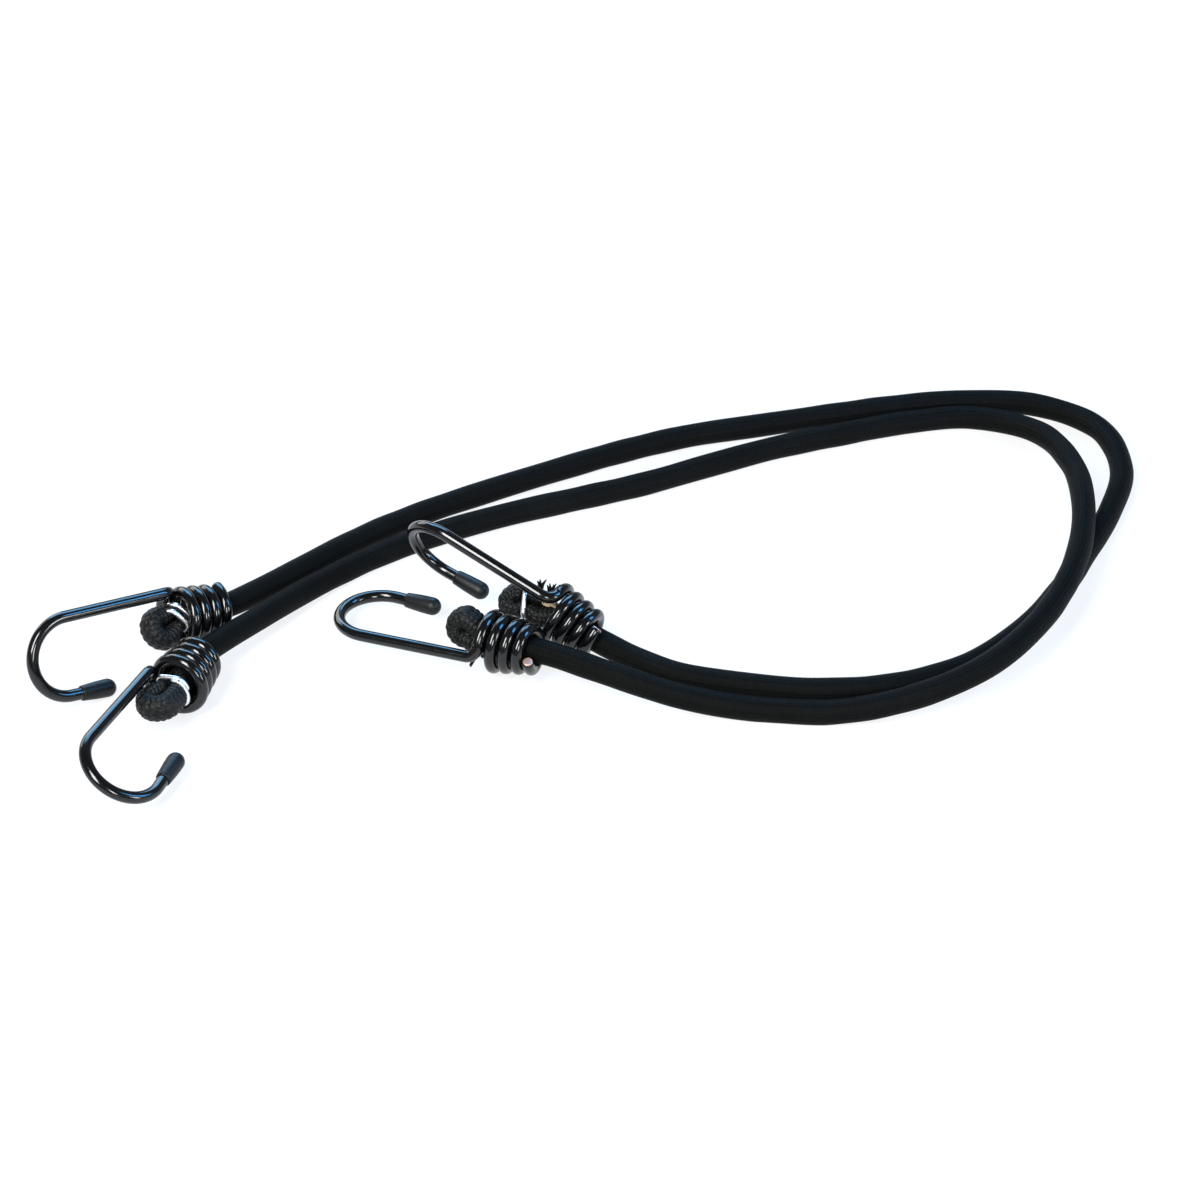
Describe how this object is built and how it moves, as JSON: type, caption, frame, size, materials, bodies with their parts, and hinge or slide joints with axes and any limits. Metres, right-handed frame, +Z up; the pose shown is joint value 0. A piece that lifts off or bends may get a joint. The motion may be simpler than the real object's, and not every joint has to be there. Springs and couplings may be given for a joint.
{
  "type": "bungee cord",
  "caption": "Pair of braided elastic cords laid side by side in a loop, each ending in coated wire hooks wound onto its folded ends.",
  "frame": {"origin": "centre of the overall box, on the surface that the cords lie on", "axes": "+X from the hooked ends towards the far bend of the loop, +Y away from the picture's viewer, +Z up"},
  "size_m": [0.3495, 0.2169, 0.0348],
  "materials": {
    "cover": "black woven braid with fine cross ribs",
    "core": "natural tan rubber strands",
    "wire": "plain steel, seen only where it is cut",
    "coating": "glossy black dipped coating",
    "cap": "satin black soft cap",
    "ring": "bright plated wire"
  },
  "bodies": {
    "back_cord": {"back_cord_cover": "cover", "back_cord_rubber_core": "core", "hook_a_clip_ring": "ring", "hook_d_clip_ring": "ring"},
    "front_cord": {"front_cord_cover": "cover", "front_cord_rubber_core": "core", "hook_b_clip_ring": "ring", "hook_c_clip_ring": "ring"},
    "hook_a": {"hook_a_wire": "wire", "hook_a_coating": "coating", "hook_a_tip_cap": "cap"},
    "hook_b": {"hook_b_wire": "wire", "hook_b_coating": "coating", "hook_b_tip_cap": "cap"},
    "hook_c": {"hook_c_wire": "wire", "hook_c_coating": "coating", "hook_c_tip_cap": "cap"},
    "hook_d": {"hook_d_wire": "wire", "hook_d_coating": "coating", "hook_d_tip_cap": "cap"}
  },
  "joints": [
    {"name": "front_cord_lift", "type": "slide", "parent": "back_cord", "child": "front_cord", "axis": [0, 0, 1], "range_m": [0, 0.06]},
    {"name": "hook_a_swivel", "type": "hinge", "parent": "back_cord", "child": "hook_a", "pos_m": [-0.13394, -0.02499, 0.01112], "axis": [-0.7793, -0.598, 0.1874], "range_deg": [-90, 60]},
    {"name": "hook_b_swivel", "type": "hinge", "parent": "front_cord", "child": "hook_b", "pos_m": [-0.13067, -0.05725, 0.01025], "axis": [-0.3562, -0.9327, 0.0558], "range_deg": [-90, 10]},
    {"name": "hook_c_swivel", "type": "hinge", "parent": "front_cord", "child": "hook_c", "pos_m": [-0.03625, -0.03417, 0.01003], "axis": [-0.9208, 0.3852, -0.061], "range_deg": [-60, 20]},
    {"name": "hook_d_swivel", "type": "hinge", "parent": "back_cord", "child": "hook_d", "pos_m": [-0.01689, -0.02263, 0.01247], "axis": [-0.8368, 0.4619, 0.294], "range_deg": [-15, 30]}
  ]
}
